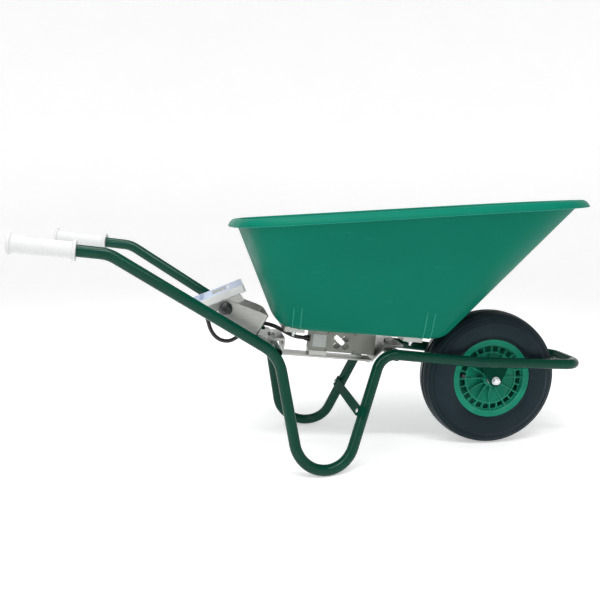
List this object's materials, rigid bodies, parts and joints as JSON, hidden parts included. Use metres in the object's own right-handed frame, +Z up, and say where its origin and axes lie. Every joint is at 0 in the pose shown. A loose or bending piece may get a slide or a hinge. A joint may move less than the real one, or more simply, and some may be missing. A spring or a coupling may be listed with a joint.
{
  "type": "wheelbarrow",
  "caption": "Single-wheel garden wheelbarrow with a deep plastic tub, bent tube frame, weigh platform on a load cell and a tilting weight indicator.",
  "frame": {"origin": "on the ground, below the middle of the barrow's length and width", "axes": "+X forwards from the handles to the wheel, +Y to the left, +Z up"},
  "size_m": [1.5521, 0.6644, 0.7237],
  "materials": {
    "frame_green": "glossy dark green enamel",
    "tub_green": "satin moulded plastic",
    "rim_green": "moulded plastic",
    "tyre_black": "black tyre",
    "grip_white": "white moulded plastic",
    "stainless": "brushed stainless sheet",
    "cell_metal": "bead-blasted grey metal",
    "plate_metal": "satin plate",
    "fastener_zinc": "bright zinc plate",
    "bearing_steel": "ground steel",
    "black_plastic": "black moulded plastic",
    "black_rubber": "black rubber",
    "cable_black": "black cable sheath",
    "housing_white": "white moulded plastic",
    "panel_blue": "pale blue printed film",
    "key_blue": "blue key tops",
    "display_glass": "clear window",
    "display_grey": "grey-green display",
    "board_green": "circuit board"
  },
  "bodies": {
    "frame": {"right_frame_tube": "frame_green", "left_frame_tube": "frame_green", "nose_tube": "frame_green", "rear_cross_tube": "frame_green", "front_cross_tube": "frame_green", "leg_brace": "frame_green", "right_axle_bracket": "frame_green", "left_axle_bracket": "frame_green", "tub": "tub_green", "right_grip": "grip_white", "left_grip": "grip_white", "weigh_carrier": "stainless", "lower_spacer": "stainless", "upper_spacer": "stainless", "weigh_deck": "stainless", "rear_tub_bearer": "stainless", "front_tub_bearer": "stainless", "indicator_bracket": "stainless", "load_cell": "cell_metal", "type_plate": "plate_metal", "axle": "fastener_zinc", "axle_nuts": "fastener_zinc", "carrier_bolts": "fastener_zinc", "load_cell_bolts": "fastener_zinc", "tub_bolts": "fastener_zinc", "tub_nuts": "fastener_zinc", "bracket_bolts": "fastener_zinc", "brace_bolts": "fastener_zinc", "cell_gland": "black_plastic", "axle_spacers": "black_plastic", "load_cell_cable": "cable_black"},
    "wheel": {"right_rim_half": "rim_green", "left_rim_half": "rim_green", "right_wheel_bearing": "bearing_steel", "left_wheel_bearing": "bearing_steel", "tyre": "tyre_black", "inner_tube": "black_rubber", "valve_stem": "black_rubber", "valve_cap": "black_plastic"},
    "indicator_head": {"indicator_yoke": "stainless", "clamp_bolts": "fastener_zinc", "housing_back": "housing_white", "housing_front": "housing_white", "housing_screws": "fastener_zinc", "face_panel": "panel_blue", "display_window": "display_glass", "display_module": "display_grey", "circuit_board": "board_green", "battery_pack": "black_plastic", "cable_gland": "black_plastic"},
    "right_knob": {"right_clamp_knob": "black_plastic"},
    "left_knob": {"left_clamp_knob": "black_plastic"},
    "key_1_body": {"key_1": "key_blue"},
    "key_2_body": {"key_2": "key_blue"},
    "key_3_body": {"key_3": "key_blue"},
    "key_4_body": {"key_4": "key_blue"}
  },
  "joints": [
    {"name": "wheel_spin", "type": "hinge", "parent": "frame", "child": "wheel", "pos_m": [0.5075, 0, 0.2], "axis": [0, 1, 0], "continuous": true},
    {"name": "indicator_tilt", "type": "hinge", "parent": "frame", "child": "indicator_head", "pos_m": [-0.2725, 0, 0.431], "axis": [0, 1, 0], "range_deg": [-30, 25], "deforming": ["load_cell_cable"]},
    {"name": "right_knob_turn", "type": "hinge", "parent": "indicator_head", "child": "right_knob", "pos_m": [-0.2725, -0.1, 0.431], "axis": [0, -1, 0], "range_deg": [0, 360]},
    {"name": "left_knob_turn", "type": "hinge", "parent": "indicator_head", "child": "left_knob", "pos_m": [-0.2725, 0.1, 0.431], "axis": [0, 1, 0], "range_deg": [0, 360]},
    {"name": "key_1_press", "type": "slide", "parent": "indicator_head", "child": "key_1_body", "axis": [0.3584, 0, -0.9336], "range_m": [0, 0.0005], "stiffness_N_per_m": 300},
    {"name": "key_2_press", "type": "slide", "parent": "indicator_head", "child": "key_2_body", "axis": [0.3584, 0, -0.9336], "range_m": [0, 0.0005], "stiffness_N_per_m": 300},
    {"name": "key_3_press", "type": "slide", "parent": "indicator_head", "child": "key_3_body", "axis": [0.3584, 0, -0.9336], "range_m": [0, 0.0005], "stiffness_N_per_m": 300},
    {"name": "key_4_press", "type": "slide", "parent": "indicator_head", "child": "key_4_body", "axis": [0.3584, 0, -0.9336], "range_m": [0, 0.0005], "stiffness_N_per_m": 300}
  ]
}
